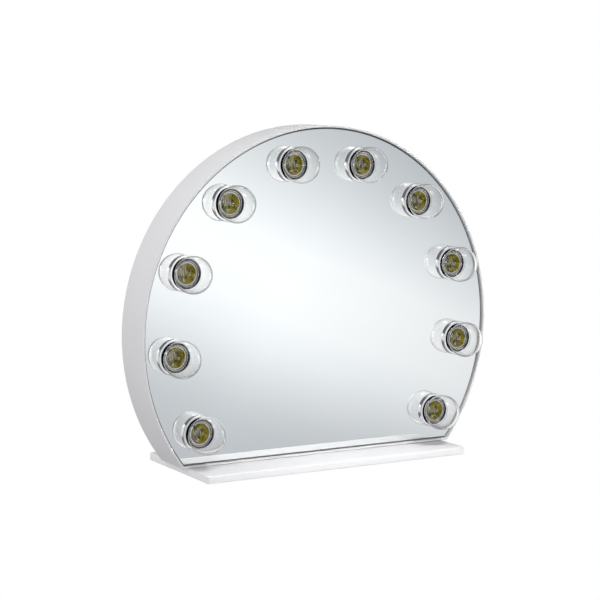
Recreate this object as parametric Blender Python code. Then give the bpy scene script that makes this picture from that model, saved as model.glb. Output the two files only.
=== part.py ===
"""Lighted vanity mirror: a half-round box frame on a low base plate, with globe bulbs along its arc.

Metres, +Z up, front towards -Y. The origin is the middle of the footprint, on the table.
"""
from math import asin, cos, pi, radians, sin

import bmesh
import bpy
from mathutils import Vector

# --- driving dimensions -------------------------------------------------------------------------
FRAME_RADIUS = 0.250
CHORD_DROP = 0.1562          # circle centre down to the underside of the frame
FRAME_DEPTH = 0.056
WALL = 0.0025
LEDGE_REACH = 0.0120         # how far the two inner ledges stand in from the outer skin
LEDGE_THICK = 0.0020
MIRROR_SETBACK = 0.0032      # mirror face behind the frame's front edge
MIRROR_THICK = 0.0040
MIRROR_INSET = 0.0038        # mirror edge in from the outer skin
BOARD_THICK = 0.0030
BOARD_INSET = 0.0030
COVER_THICK = 0.0020
COVER_RECESS = 0.0020        # rear cover in from the frame's rear edge
GAP = 0.0003                 # between pieces that touch

BASE_WIDTH = 0.375
BASE_DEPTH = 0.150
BASE_THICK = 0.0093
BASE_CORNER = 0.003
PAD_THICK = 0.0010
PAD_LENGTH = 0.320
PAD_WIDTH = 0.010
PAD_OFFSET = 0.060

BULB_COUNT = 10
BULB_CIRCLE = 0.2082
BULB_PITCH_DEG = 27.5
GLOBE_RADIUS = 0.0225
GLOBE_CENTRE = 0.0198        # globe centre in front of the mirror face
GLOBE_WALL = 0.0010
NECK_RADIUS = 0.0153
COLLAR_RADIUS = 0.0220
COLLAR_HEIGHT = 0.0032
SLEEVE_OUTER = 0.0202
SLEEVE_INNER = 0.0192
SOCKET_HOLE = 0.0208
HOUSING_RADIUS = 0.0162
HOUSING_FRONT = 0.0032        # rim of the bulb's base in front of the mirror face
SEAT = 0.0005                 # floor of that rim, which the disc and the neck stand on
DISC_RADIUS = 0.0139
DISC_THICK = 0.0020
CAP_RADIUS = 0.0068
TUBE_INNER = 0.0076
TUBE_OUTER = 0.0090

KNOB_X, KNOB_Z = 0.092, 0.040
KNOB_RADIUS = 0.011
KNOB_HEIGHT = 0.014
SWITCH_X, SWITCH_Z = 0.046, 0.040
ROCKER_TILT_DEG = -10.0
JACK_X, JACK_Z = 0.0, 0.040
DRIVER_Z = 0.105

ARC_STEPS = 54
ROUND_STEPS = 16

# --- derived positions --------------------------------------------------------------------------
BASE_BOTTOM = PAD_THICK
BASE_TOP = BASE_BOTTOM + BASE_THICK
FRAME_BOTTOM = BASE_TOP + GAP
CENTRE_Z = FRAME_BOTTOM + CHORD_DROP
FRONT = -FRAME_DEPTH / 2
REAR = FRAME_DEPTH / 2
MIRROR_FACE = FRONT + MIRROR_SETBACK
BOARD_FRONT = MIRROR_FACE + MIRROR_THICK + GAP
BOARD_REAR = BOARD_FRONT + BOARD_THICK
FRONT_LEDGE = BOARD_REAR + GAP
COVER_OUTER = REAR - COVER_RECESS
COVER_INNER = COVER_OUTER - COVER_THICK
REAR_LEDGE = COVER_INNER - GAP - LEDGE_THICK


def paint(name, colour, roughness=0.5, metallic=0.0, transmission=0.0):
    material = bpy.data.materials.new(name)
    material.use_nodes = True
    shader = material.node_tree.nodes["Principled BSDF"]
    shader.inputs["Base Color"].default_value = (*colour, 1.0)
    shader.inputs["Roughness"].default_value = roughness
    shader.inputs["Metallic"].default_value = metallic
    shader.inputs["Transmission Weight"].default_value = transmission
    return material


def finish(name, work, material, at=(0.0, 0.0, 0.0), smooth=False):
    """Close a bmesh off as an object: weld it, turn its normals outwards and place it."""
    bmesh.ops.remove_doubles(work, verts=work.verts, dist=1e-6)
    bmesh.ops.recalc_face_normals(work, faces=work.faces)
    mesh = bpy.data.meshes.new(name)
    work.to_mesh(mesh)
    work.free()
    piece = bpy.data.objects.new(name, mesh)
    bpy.context.scene.collection.objects.link(piece)
    piece.location = at
    mesh.materials.append(material)
    if smooth:
        mesh.shade_smooth()
        mesh.set_sharp_from_angle(angle=radians(38))
    return piece


def rim(work, points):
    return [work.verts.new(p) for p in points]


def join(work, near, far):
    """Quads between two rims of equal length."""
    for i in range(len(near)):
        j = (i + 1) % len(near)
        work.faces.new((near[i], near[j], far[j], far[i]))


def rim_edges(work, verts):
    return [work.edges.get((a, b)) or work.edges.new((a, b)) for a, b in zip(verts, verts[1:] + verts[:1])]


def turned(name, profile, at, material, axis="Y", closed=False):
    """Spin a profile of (radius, distance along the axis) about the piece's own axis."""
    work = bmesh.new()
    along = Vector((0, 1, 0)) if axis == "Y" else Vector((0, 0, 1))
    points = rim(work, [Vector((radius, 0, 0)) + along * reach for radius, reach in profile])
    pairs = list(zip(points, points[1:]))
    if closed:
        pairs.append((points[-1], points[0]))
    chain = [work.edges.new(pair) for pair in pairs]
    bmesh.ops.spin(work, geom=points + chain, cent=(0, 0, 0), axis=along, angle=2 * pi,
                   steps=ROUND_STEPS)
    bmesh.ops.remove_doubles(work, verts=work.verts, dist=1e-6)
    bmesh.ops.dissolve_degenerate(work, dist=1e-6, edges=work.edges)
    return finish(name, work, material, at, smooth=True)


def arch(inset, steps=ARC_STEPS):
    """The frame's outline in X and Z, moved inwards. Its last edge is the straight bottom."""
    radius = FRAME_RADIUS - inset
    drop = CHORD_DROP - inset
    start = -asin(drop / radius)
    span = pi - 2 * start
    points = []
    for i in range(steps + 1):
        angle = start + span * i / steps
        points.append((radius * cos(angle), CENTRE_Z + radius * sin(angle)))
    return points


def circle(x, z, radius, steps=ROUND_STEPS):
    return [(x + radius * cos(2 * pi * i / steps), z + radius * sin(2 * pi * i / steps))
            for i in range(steps)]


def rectangle(x, z, width, height, corner=0.0, steps=3):
    """A rectangle's corners, counter-clockwise, each rounded in a few steps when asked."""
    points = []
    for sx, sz, turn in ((1, -1, -pi / 2), (1, 1, 0.0), (-1, 1, pi / 2), (-1, -1, pi)):
        cx = x + sx * (width / 2 - corner)
        cz = z + sz * (height / 2 - corner)
        for i in range(steps + 1 if corner else 1):
            angle = turn + pi / 2 * i / steps
            points.append((cx + corner * cos(angle), cz + corner * sin(angle)))
    return points


def place(point, depth, flat_axis):
    if flat_axis == "Y":
        return (point[0], depth, point[1])
    return (point[0], point[1], depth)


def sheet(name, walls, material, flat_axis="Y", at=(0.0, 0.0, 0.0)):
    """A flat piece with holes.

    walls holds one entry per rim, the outer one first. Each is a list of (depth, outline) from
    the first face to the last, so a rim may be chamfered and a hole stepped.
    """
    work = bmesh.new()
    ends = ([], [])
    for wall in walls:
        rims = [rim(work, [place(p, depth, flat_axis) for p in outline]) for depth, outline in wall]
        for near, far in zip(rims, rims[1:]):
            join(work, near, far)
        ends[0].extend(rim_edges(work, rims[0]))
        ends[1].extend(rim_edges(work, rims[-1]))
    for edges in ends:
        bmesh.ops.triangle_fill(work, edges=edges, use_beauty=True)
    return finish(name, work, material, at)


def stacked(name, outlines, material, at=(0.0, 0.0, 0.0), smooth=False, ring=False):
    """Join a row of equal outlines in space, and cap its ends, or close it into a ring."""
    work = bmesh.new()
    rims = [rim(work, points) for points in outlines]
    for near, far in zip(rims, rims[1:]):
        join(work, near, far)
    if ring:
        join(work, rims[-1], rims[0])
    else:
        work.faces.new(rims[0])
        work.faces.new(rims[-1])
    return finish(name, work, material, at, smooth)


def drill(piece, places, radius, length, axis):
    """Cut round holes through a piece. places holds each hole's middle."""
    for number, place in enumerate(places):
        work = bmesh.new()
        bmesh.ops.create_cone(work, cap_ends=True, segments=ROUND_STEPS, radius1=radius,
                              radius2=radius, depth=length)
        mesh = bpy.data.meshes.new("drill")
        work.to_mesh(mesh)
        work.free()
        cutter = bpy.data.objects.new(f"cut_{piece.name}_{axis}_{number}", mesh)
        bpy.context.scene.collection.objects.link(cutter)
        cutter.location = place
        if axis == "Y":
            cutter.rotation_euler = (pi / 2, 0, 0)
        cutter.hide_render = True
        cutter.display_type = "WIRE"
        cut = piece.modifiers.new(f"hole_{axis}_{number}", "BOOLEAN")
        cut.operation = "DIFFERENCE"
        cut.solver = "EXACT"
        cut.object = cutter


for old in list(bpy.data.objects):
    bpy.data.objects.remove(old, do_unlink=True)

white_paint = paint("white_paint", (0.86, 0.86, 0.87), 0.35)
white_lacquer = paint("white_lacquer", (0.90, 0.90, 0.91), 0.30)
silvering = paint("silvering", (0.93, 0.95, 0.95), 0.02, 1.0)
dark_board = paint("dark_board", (0.05, 0.05, 0.06), 0.7)
cover_plastic = paint("cover_plastic", (0.82, 0.82, 0.83), 0.5)
chrome = paint("chrome", (0.80, 0.81, 0.83), 0.08, 1.0)
bulb_plastic = paint("bulb_plastic", (0.90, 0.90, 0.88), 0.4)
phosphor = paint("phosphor", (0.52, 0.47, 0.05), 0.5)
clear_glass = paint("clear_glass", (0.95, 0.97, 0.98), 0.02, 0.0, 1.0)
rubber = paint("rubber", (0.08, 0.08, 0.08), 0.8)
screw_steel = paint("screw_steel", (0.60, 0.61, 0.63), 0.3, 1.0)
black_plastic = paint("black_plastic", (0.04, 0.04, 0.045), 0.45)
driver_plastic = paint("driver_plastic", (0.75, 0.75, 0.76), 0.5)
wire_sleeve = paint("wire_sleeve", (0.85, 0.85, 0.83), 0.6)

# --- frame: a folded band with a ledge for the mirror board and one for the rear cover ----------
section = [
    (0.0, FRONT + 0.0006), (0.0, REAR - 0.0006), (0.0006, REAR), (WALL, REAR),
    (WALL, REAR_LEDGE + LEDGE_THICK), (LEDGE_REACH, REAR_LEDGE + LEDGE_THICK),
    (LEDGE_REACH, REAR_LEDGE), (WALL, REAR_LEDGE),
    (WALL, FRONT_LEDGE + LEDGE_THICK), (LEDGE_REACH, FRONT_LEDGE + LEDGE_THICK),
    (LEDGE_REACH, FRONT_LEDGE), (WALL, FRONT_LEDGE), (WALL, FRONT), (0.0006, FRONT),
]
frame_shell = stacked("frame_shell", [[(x, depth, z) for x, z in arch(inset)] for inset, depth in section],
                      white_paint, smooth=True, ring=True)

COVER_SCREWS = [(0.243 * cos(radians(a)), CENTRE_Z + 0.243 * sin(radians(a))) for a in (35, 145)]
COVER_SCREWS += [(0.150, FRAME_BOTTOM + 0.0075), (-0.150, FRAME_BOTTOM + 0.0075)]
BASE_SCREW_X = (-0.120, 0.120)
drill(frame_shell, [(x, REAR_LEDGE + LEDGE_THICK / 2, z) for x, z in COVER_SCREWS], 0.0019, 0.004, "Y")
drill(frame_shell, [(x, 0.0, FRAME_BOTTOM + WALL / 2) for x in BASE_SCREW_X], 0.0029, 0.005, "Z")

# --- bulb places along the arc ------------------------------------------------------------------
BULBS = []
for number in range(BULB_COUNT):
    angle = radians(90 + BULB_PITCH_DEG * (BULB_COUNT - 1) / 2 - BULB_PITCH_DEG * number)
    BULBS.append((BULB_CIRCLE * cos(angle), CENTRE_Z + BULB_CIRCLE * sin(angle)))

# --- mirror and the board behind it, both cut for the lamp holders -------------------------------
mirror_rear = MIRROR_FACE + MIRROR_THICK
mirror_walls = [[(MIRROR_FACE, arch(MIRROR_INSET + 0.0008)), (MIRROR_FACE + 0.0008, arch(MIRROR_INSET)),
                 (mirror_rear, arch(MIRROR_INSET))]]
board_walls = [[(BOARD_FRONT, arch(BOARD_INSET)), (BOARD_REAR, arch(BOARD_INSET))]]
for x, z in BULBS:
    mirror_walls.append([(MIRROR_FACE, circle(x, z, SOCKET_HOLE)), (mirror_rear, circle(x, z, SOCKET_HOLE))])
    board_walls.append([(BOARD_FRONT, circle(x, z, SOCKET_HOLE)), (BOARD_REAR, circle(x, z, SOCKET_HOLE))])
sheet("mirror_glass", mirror_walls, silvering)
sheet("backing_board", board_walls, dark_board)

# --- lamp holders and bulbs ---------------------------------------------------------------------
holder_profile = [
    (SLEEVE_INNER, -COLLAR_HEIGHT + 0.0005), (SLEEVE_INNER + 0.0008, -COLLAR_HEIGHT),
    (COLLAR_RADIUS - 0.0012, -COLLAR_HEIGHT), (COLLAR_RADIUS, -0.0010), (COLLAR_RADIUS, -GAP),
    (SLEEVE_OUTER, -GAP), (SLEEVE_OUTER, 0.0130), (TUBE_OUTER, 0.0185), (TUBE_OUTER, 0.0370),
    (0.0, 0.0370), (0.0, 0.0356), (TUBE_INNER, 0.0356), (TUBE_INNER, 0.0172),
    (SLEEVE_INNER, 0.0122),
]
housing_profile = [
    (0.0, 0.0350), (0.0025, 0.0350), (0.0032, 0.0330), (CAP_RADIUS, 0.0315), (CAP_RADIUS, 0.0152),
    (0.0085, 0.0150), (HOUSING_RADIUS, 0.0075), (HOUSING_RADIUS, -HOUSING_FRONT),
    (NECK_RADIUS + GAP, -HOUSING_FRONT), (NECK_RADIUS + GAP, -SEAT), (0.0, -SEAT),
]
globe_inner = GLOBE_RADIUS - GLOBE_WALL
neck_inner = NECK_RADIUS - GLOBE_WALL


def globe_profile():
    """A thin glass globe, open at its neck."""
    outer_join = asin(NECK_RADIUS / GLOBE_RADIUS)
    inner_join = asin(neck_inner / globe_inner)
    points = [(neck_inner, -SEAT - GAP), (NECK_RADIUS, -SEAT - GAP)]
    for i in range(6):
        angle = outer_join + (pi - outer_join) * i / 5
        radius = GLOBE_RADIUS * sin(angle) if i < 5 else 0.0
        points.append((radius, -GLOBE_CENTRE + GLOBE_RADIUS * cos(angle)))
    for i in range(5):
        angle = pi - (pi - inner_join) * i / 4
        radius = globe_inner * sin(angle) if i > 0 else 0.0
        points.append((radius, -GLOBE_CENTRE + globe_inner * cos(angle)))
    return points


for number, (x, z) in enumerate(BULBS, start=1):
    at = (x, MIRROR_FACE, z)
    turned(f"lamp_holder_{number}", holder_profile, at, chrome, closed=True)
    turned(f"bulb_base_{number}", housing_profile, at, bulb_plastic)
    turned(f"bulb_globe_{number}", globe_profile(), at, clear_glass, closed=True)
    disc_rear = -SEAT - GAP
    disc_front = disc_rear - DISC_THICK
    turned(f"led_disc_{number}",
           [(0.0, disc_front), (DISC_RADIUS - 0.0004, disc_front), (DISC_RADIUS, disc_front + 0.0004),
            (DISC_RADIUS, disc_rear), (0.0, disc_rear)], at, phosphor)

# --- rear cover with its controls and inlet -----------------------------------------------------
cover_walls = [[(COVER_INNER, arch(WALL + GAP)), (COVER_OUTER, arch(WALL + GAP))]]
for outline in ([circle(JACK_X, JACK_Z, 0.0045), circle(KNOB_X, KNOB_Z, 0.0040),
                 rectangle(SWITCH_X, SWITCH_Z, 0.0146, 0.0206)]
                + [circle(x, z, 0.0019) for x, z in COVER_SCREWS]):
    cover_walls.append([(COVER_INNER, outline), (COVER_OUTER, outline)])
sheet("rear_cover", cover_walls, cover_plastic)
for number, (x, z) in enumerate(COVER_SCREWS, start=1):
    turned(f"rear_screw_{number}",
           [(0.0, -0.0095), (0.0008, -0.0095), (0.0015, -0.0082), (0.0015, GAP), (0.0029, GAP),
            (0.0029, 0.0010), (0.0018, 0.0018), (0.0, 0.0018)], (x, COVER_OUTER, z), screw_steel)

turned("dc_jack",
       [(0.0, 0.0015), (0.0008, 0.0015), (0.0010, 0.0011), (0.0010, -0.0080), (0.0028, -0.0080),
        (0.0028, 0.0023), (0.0064, 0.0023), (0.0064, GAP), (0.0041, GAP), (0.0041, -0.0140),
        (0.0, -0.0140)], (JACK_X, COVER_OUTER, JACK_Z), black_plastic)

turned("dimmer_body",
       [(0.0, 0.0110), (0.0029, 0.0110), (0.0029, GAP), (0.0036, GAP), (0.0036, -COVER_THICK - GAP),
        (0.0085, -COVER_THICK - GAP), (0.0085, -0.0130), (0.0, -0.0130)],
       (KNOB_X, COVER_OUTER, KNOB_Z), screw_steel)
turned("dimmer_knob",
       [(0.0033, 0.0010), (KNOB_RADIUS, 0.0010), (KNOB_RADIUS, 0.0030), (KNOB_RADIUS - 0.0007, 0.0036),
        (KNOB_RADIUS - 0.0012, 0.0010 + KNOB_HEIGHT - 0.0010), (KNOB_RADIUS - 0.0022, 0.0010 + KNOB_HEIGHT),
        (0.0, 0.0010 + KNOB_HEIGHT), (0.0, 0.0115), (0.0033, 0.0115)],
       (KNOB_X, COVER_OUTER, KNOB_Z), black_plastic, closed=True)


def box_outlines(steps):
    """Rectangles along Y for a stacked piece. steps holds (width, height, depth)."""
    return [[(x, depth, z) for x, z in rectangle(0, 0, width, height)] for width, height, depth in steps]


stacked("switch_body", box_outlines([
    (0.0110, 0.0166, -0.0075), (0.0110, 0.0166, 0.0020), (0.0170, 0.0230, 0.0020),
    (0.0170, 0.0230, GAP), (0.0140, 0.0200, GAP), (0.0140, 0.0200, -0.0150),
]), black_plastic, at=(SWITCH_X, COVER_OUTER, SWITCH_Z))

rocker_side = [(-0.0072, 0.0022), (0.0, 0.0012), (0.0072, 0.0022), (0.0074, -0.0012), (0.0044, -0.0052),
               (-0.0044, -0.0052), (-0.0074, -0.0012)]
rocker = stacked("switch_rocker", [[(side, depth, height) for height, depth in rocker_side]
                                   for side in (-0.0051, 0.0051)],
                 black_plastic, at=(SWITCH_X, COVER_OUTER + 0.0012, SWITCH_Z))
rocker.rotation_euler = (radians(ROCKER_TILT_DEG), 0, 0)

# --- lamp driver behind the board, and the loom that feeds the holders --------------------------
stacked("driver_box", box_outlines([
    (0.124, 0.034, GAP), (0.124, 0.034, 0.0023), (0.100, 0.034, 0.0023), (0.100, 0.034, 0.0210),
    (0.096, 0.030, 0.0230),
]), driver_plastic, at=(0, BOARD_REAR, DRIVER_Z))

loom_path = [Vector((-0.0515, -0.004, DRIVER_Z)), Vector((-0.075, -0.001, DRIVER_Z - 0.002)),
             Vector((-0.120, 0.009, DRIVER_Z - 0.016)), Vector((-0.152, 0.0146, 0.068))]
first_angle = 90 + BULB_PITCH_DEG * (BULB_COUNT - 1) / 2
last_angle = 90 - BULB_PITCH_DEG * (BULB_COUNT - 1) / 2
for i in range(37):
    angle = radians(first_angle + (last_angle - first_angle) * i / 36)
    loom_path.append(Vector((BULB_CIRCLE * cos(angle), 0.0146, CENTRE_Z + BULB_CIRCLE * sin(angle))))
loom_loops = []
for i, point in enumerate(loom_path):
    ahead = loom_path[min(i + 1, len(loom_path) - 1)] - loom_path[max(i - 1, 0)]
    ahead.normalize()
    side = ahead.cross(Vector((0, 1, 0))).normalized()
    rise = side.cross(ahead).normalized()
    loom_loops.append([tuple(point + 0.002 * (cos(k * pi / 3) * side + sin(k * pi / 3) * rise))
                       for k in range(6)])
stacked("wire_loom", loom_loops, wire_sleeve, smooth=True)

# --- base plate, its screws and its pads --------------------------------------------------------
chamfer = 0.0006
slab = [(BASE_BOTTOM, chamfer), (BASE_BOTTOM + chamfer, 0.0), (BASE_TOP - chamfer, 0.0), (BASE_TOP, chamfer)]
base_walls = [[(height, rectangle(0, 0, BASE_WIDTH - 2 * cut, BASE_DEPTH - 2 * cut, BASE_CORNER - cut))
               for height, cut in slab]]
for x in BASE_SCREW_X:
    base_walls.append([(BASE_BOTTOM, circle(x, 0, 0.0053)), (BASE_BOTTOM + 0.0045, circle(x, 0, 0.0053)),
                       (BASE_BOTTOM + 0.0045, circle(x, 0, 0.0029)), (BASE_TOP, circle(x, 0, 0.0029))])
sheet("base_plate", base_walls, white_lacquer, flat_axis="Z")
for number, x in enumerate(BASE_SCREW_X, start=1):
    turned(f"base_screw_{number}",
           [(0.0, 0.0012), (0.0040, 0.0012), (0.0046, 0.0018), (0.0046, 0.0042), (0.0025, 0.0042),
            (0.0025, 0.0200), (0.0018, 0.0210), (0.0, 0.0210)], (x, 0, BASE_BOTTOM), screw_steel, axis="Z")
for number, y in enumerate((-PAD_OFFSET, PAD_OFFSET), start=1):
    outline = rectangle(0, y, PAD_LENGTH, PAD_WIDTH, 0.002)
    sheet(f"foot_pad_{number}", [[(0.0, outline), (PAD_THICK - 0.0001, outline)]], rubber, flat_axis="Z")
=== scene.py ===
from math import asin, cos, pi, radians, sin

import bmesh
import bpy
from mathutils import Matrix, Vector


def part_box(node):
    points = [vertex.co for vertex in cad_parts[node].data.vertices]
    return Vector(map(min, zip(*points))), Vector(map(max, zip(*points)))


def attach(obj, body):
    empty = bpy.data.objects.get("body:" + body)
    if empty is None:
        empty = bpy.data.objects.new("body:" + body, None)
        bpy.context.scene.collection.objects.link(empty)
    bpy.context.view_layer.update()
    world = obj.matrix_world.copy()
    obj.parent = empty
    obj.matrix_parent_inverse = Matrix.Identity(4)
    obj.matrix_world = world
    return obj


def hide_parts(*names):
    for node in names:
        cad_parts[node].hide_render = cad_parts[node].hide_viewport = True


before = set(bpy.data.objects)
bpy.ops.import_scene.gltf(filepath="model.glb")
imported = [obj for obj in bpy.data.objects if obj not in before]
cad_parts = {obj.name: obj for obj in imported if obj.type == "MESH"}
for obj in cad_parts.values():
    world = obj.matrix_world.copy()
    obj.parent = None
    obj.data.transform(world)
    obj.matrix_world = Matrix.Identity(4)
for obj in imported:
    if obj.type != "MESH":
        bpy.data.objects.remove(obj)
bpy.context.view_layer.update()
print("frame loaded:", len(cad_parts), "nodes")


def nodeMiddle(node):
    low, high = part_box(node)
    return (low + high) / 2


# Places read from the frame. Lengths are in metres, and mm turns millimetres into them.
mm = 0.001
origin = Vector((0, 0, 0))
shellLow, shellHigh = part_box("frame_shell")
mirrorLow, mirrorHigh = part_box("mirror_glass")
coverLow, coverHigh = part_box("rear_cover")
baseLow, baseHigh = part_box("base_plate")
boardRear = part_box("backing_board")[1].y
frameRadius = (shellHigh.x - shellLow.x) / 2
centreZ = shellHigh.z - frameRadius
chordDrop = centreZ - shellLow.z
mirrorFace = mirrorLow.y
bulbCount = sum(1 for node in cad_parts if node.startswith("bulb_globe_"))
bulbPlaces = []
for number in range(1, bulbCount + 1):
    middle = nodeMiddle(f"led_disc_{number}")
    bulbPlaces.append(Vector((middle.x, mirrorFace, middle.z)))


def metres(**sizes):
    # a settings dictionary from sizes in mm
    return {name: tuple(value * mm for value in size) if isinstance(size, tuple) else size * mm
            for name, size in sizes.items()}


class Link:
    # an output socket that takes Python's operators
    def __init__(self, maker, socket):
        self.maker = maker
        self.socket = socket

    def maths(self, operation, other):
        return self.maker.node("ShaderNodeMath", {"operation": operation}, {0: self, 1: other})

    def __add__(self, other):
        return self.maths("ADD", other)

    def __sub__(self, other):
        return self.maths("SUBTRACT", other)

    def __mul__(self, other):
        return self.maths("MULTIPLY", other)


class Maker:
    # adds nodes to one tree
    def __init__(self, tree):
        self.tree = tree

    def node(self, kind, settings=None, values=None, out=0):
        made = self.tree.nodes.new(kind)
        for key, value in (settings or {}).items():
            if key == "stops":
                self.setStops(made.color_ramp, value)
            else:
                setattr(made, key, value)
        for key, value in (values or {}).items():
            if isinstance(value, Link):
                self.tree.links.new(value.socket, made.inputs[key])
            else:
                made.inputs[key].default_value = value
        return Link(self, made.outputs[out]) if made.outputs else made

    def setStops(self, ramp, stops):
        while len(ramp.elements) > 1:
            ramp.elements.remove(ramp.elements[-1])
        for index, (place, colour) in enumerate(stops):
            stop = ramp.elements[0] if index == 0 else ramp.elements.new(place)
            stop.position = place
            stop.color = (*colour, 1.0)

    def noise(self, where, scale, detail=2.0, roughness=0.5):
        return self.node("ShaderNodeTexNoise", None,
                         {"Vector": where, "Scale": scale, "Detail": detail, "Roughness": roughness})

    def ramp(self, factor, stops):
        return self.node("ShaderNodeValToRGB", {"stops": stops}, {"Fac": factor})

    def remap(self, value, fromLow, fromHigh, toLow, toHigh):
        return self.node("ShaderNodeMapRange", {"clamp": True},
                         {"Value": value, "From Min": fromLow, "From Max": fromHigh,
                          "To Min": toLow, "To Max": toHigh})

    def spread(self, value, toLow, toHigh):
        # most noise lies between 0.3 and 0.7
        return self.remap(value, 0.3, 0.7, toLow, toHigh)

    def twoTone(self, value, dark, light):
        return self.ramp(value, [(0.3, dark), (0.7, light)])

    def blend(self, factor, first, second):
        return self.node("ShaderNodeMix", {"data_type": "RGBA"},
                         {"Factor": factor, 6: first, 7: second}, out=2)

    def bump(self, height, strength, distance):
        return self.node("ShaderNodeBump", None,
                         {"Height": height, "Strength": strength, "Distance": distance})

    def dot(self, vector, direction):
        return self.node("ShaderNodeVectorMath", {"operation": "DOT_PRODUCT"},
                         {0: vector, 1: tuple(direction)}, out="Value")

    def offset(self, vector, start):
        return self.node("ShaderNodeVectorMath", {"operation": "SUBTRACT"}, {0: vector, 1: tuple(start)})

    def ray(self, kind):
        return self.node("ShaderNodeLightPath", out=kind)

    def glow(self, colour, strength=1.0):
        return self.node("ShaderNodeEmission", None, {"Color": colour, "Strength": strength})

    def mixShader(self, factor, first, second):
        return self.node("ShaderNodeMixShader", None, {0: factor, 1: first, 2: second})

    def seeThrough(self):
        return self.node("ShaderNodeBsdfTransparent")


def material(name, looks, pattern):
    # looks holds fixed socket values, and pattern(maker, where) gives the ones that vary
    made = bpy.data.materials.new(name)
    made.use_nodes = True
    shader = made.node_tree.nodes["Principled BSDF"]
    for key, value in looks.items():
        shader.inputs[key].default_value = (*value, 1.0) if isinstance(value, tuple) else value
    maker = Maker(made.node_tree)
    where = maker.node("ShaderNodeTexCoord", out=3)
    for key, value in pattern(maker, where).items():
        made.node_tree.links.new(value.socket, shader.inputs[key])
    return made


def grained(name, looks, grain, dark, light, roughness, bump=None, tonesAt=(0.3, 0.7), relief=None):
    # one noise varies colour, roughness and bump, or the bump has its own. Both are given as (scale, detail).
    def pattern(maker, where):
        skin = maker.noise(where, *grain)
        varied = {"Base Color": maker.ramp(skin, list(zip(tonesAt, (dark, light)))),
                  "Roughness": maker.spread(skin, *roughness)}
        if bump:
            varied["Normal"] = maker.bump(maker.noise(where, *relief) if relief else skin, *bump)
        return varied
    return material(name, looks, pattern)


def powderCoat():
    def pattern(maker, where):
        grains = maker.noise(where, 2600.0, 2.0)
        orangePeel = maker.noise(where, 420.0, 3.0)
        drift = maker.noise(where, 9.0, 3.0)
        return {"Base Color": maker.twoTone(drift, (0.53, 0.53, 0.542), (0.56, 0.56, 0.57)),
                "Roughness": maker.spread(orangePeel, 0.32, 0.44),
                "Normal": maker.bump(grains * 0.35 + orangePeel * 0.65, 0.22, 0.12 * mm)}
    looks = {"Specular IOR Level": 0.5, "Coat Roughness": 0.25, "Coat Weight": 0.15}
    return material("powderCoat", looks, pattern)


def baseLacquer():
    looks = {"Specular IOR Level": 0.5, "Coat Roughness": 0.12, "Coat Weight": 0.35}
    return grained("baseLacquer", looks, (7.0, 3.0), (0.62, 0.62, 0.628), (0.64, 0.64, 0.648), (0.28, 0.38),
                   (0.10, 0.10 * mm), relief=(170.0, 3.0))


def mirrorSilver():
    def pattern(maker, where):
        haze = maker.noise(where, 14.0, 4.0)
        return {"Roughness": maker.remap(haze, 0.35, 0.75, 0.0, 0.018)}
    return material("mirrorSilver", {"Metallic": 1.0, "Base Color": (0.955, 0.965, 0.965)}, pattern)


def glassEdge():
    def pattern(maker, where):
        grind = maker.noise(where, 900.0, 2.0)
        return {"Base Color": maker.twoTone(grind, (0.16, 0.20, 0.19), (0.24, 0.29, 0.28))}
    return material("glassEdge", {"Roughness": 0.12, "Specular IOR Level": 0.6}, pattern)


def polishedChrome():
    def pattern(maker, where):
        swirl = maker.noise(where, 300.0, 3.0)
        return {"Roughness": maker.spread(swirl, 0.03, 0.08)}
    return material("polishedChrome", {"Metallic": 1.0, "Base Color": (0.95, 0.95, 0.955)}, pattern)


def holderPlastic():
    return grained("holderPlastic", {"Specular IOR Level": 0.12}, (900.0, 2.0), (0.006, 0.005, 0.004),
                   (0.014, 0.011, 0.009), (0.65, 0.85), (0.15, 0.05 * mm))


def clearGlass():
    def pattern(maker, where):
        haze = maker.noise(where, 60.0, 2.0)
        # the glass is painted grey where it is seen edge-on: painted shade for the globes' dark outlines
        rim = maker.node("ShaderNodeLayerWeight", None, {"Blend": 0.5}, out="Facing")
        paintedEdgeShade = maker.ramp(rim, [(0.72, (1.0, 1.0, 1.0)), (0.90, (0.90, 0.91, 0.915)),
                                (0.98, (0.62, 0.63, 0.64))])
        return {"Base Color": paintedEdgeShade, "Roughness": maker.remap(haze, 0.4, 0.8, 0.0, 0.01)}
    looks = {"IOR": 1.45, "Transmission Weight": 1.0, "Specular IOR Level": 0.3}
    return material("clearGlass", looks, pattern)


def bulbPlastic():
    looks = {"Specular IOR Level": 0.5, "Coat Weight": 0.3, "Coat Roughness": 0.15}
    return grained("bulbPlastic", looks, (700.0, 2.0), (0.91, 0.91, 0.90), (0.94, 0.94, 0.93), (0.3, 0.4),
                   (0.08, 0.04 * mm))


def phosphorResin():
    def pattern(maker, where):
        powder = maker.noise(where, 1900.0, 3.0, 0.6)
        pools = maker.noise(where, 230.0, 4.0, 0.65)
        stops = [(0.38, (0.060, 0.042, 0.003)), (0.45, (0.140, 0.118, 0.001)), (0.51, (0.250, 0.218, 0.001)),
                 (0.57, (0.300, 0.226, 0.001)), (0.66, (0.460, 0.400, 0.020))]
        return {"Base Color": maker.ramp(powder * 0.35 + pools * 0.65, stops),
                "Roughness": maker.spread(powder, 0.35, 0.55),
                "Normal": maker.bump(powder, 0.3, 0.06 * mm)}
    return material("phosphorResin", {"Specular IOR Level": 0.05}, pattern)


def boardInk():
    return grained("boardInk", {"Specular IOR Level": 0.5}, (1200.0, 2.0), (0.90, 0.90, 0.89),
                   (0.94, 0.94, 0.93), (0.35, 0.5))


def solderMetal():
    return grained("solderMetal", {"Metallic": 1.0}, (1500.0, 2.0), (0.28, 0.27, 0.26), (0.72, 0.72, 0.73),
                   (0.12, 0.28), (0.2, 0.04 * mm), (0.35, 0.65))


def nickelCap():
    return grained("nickelCap", {"Metallic": 1.0}, (500.0, 3.0), (0.62, 0.60, 0.56), (0.72, 0.71, 0.68),
                   (0.18, 0.32))


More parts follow.
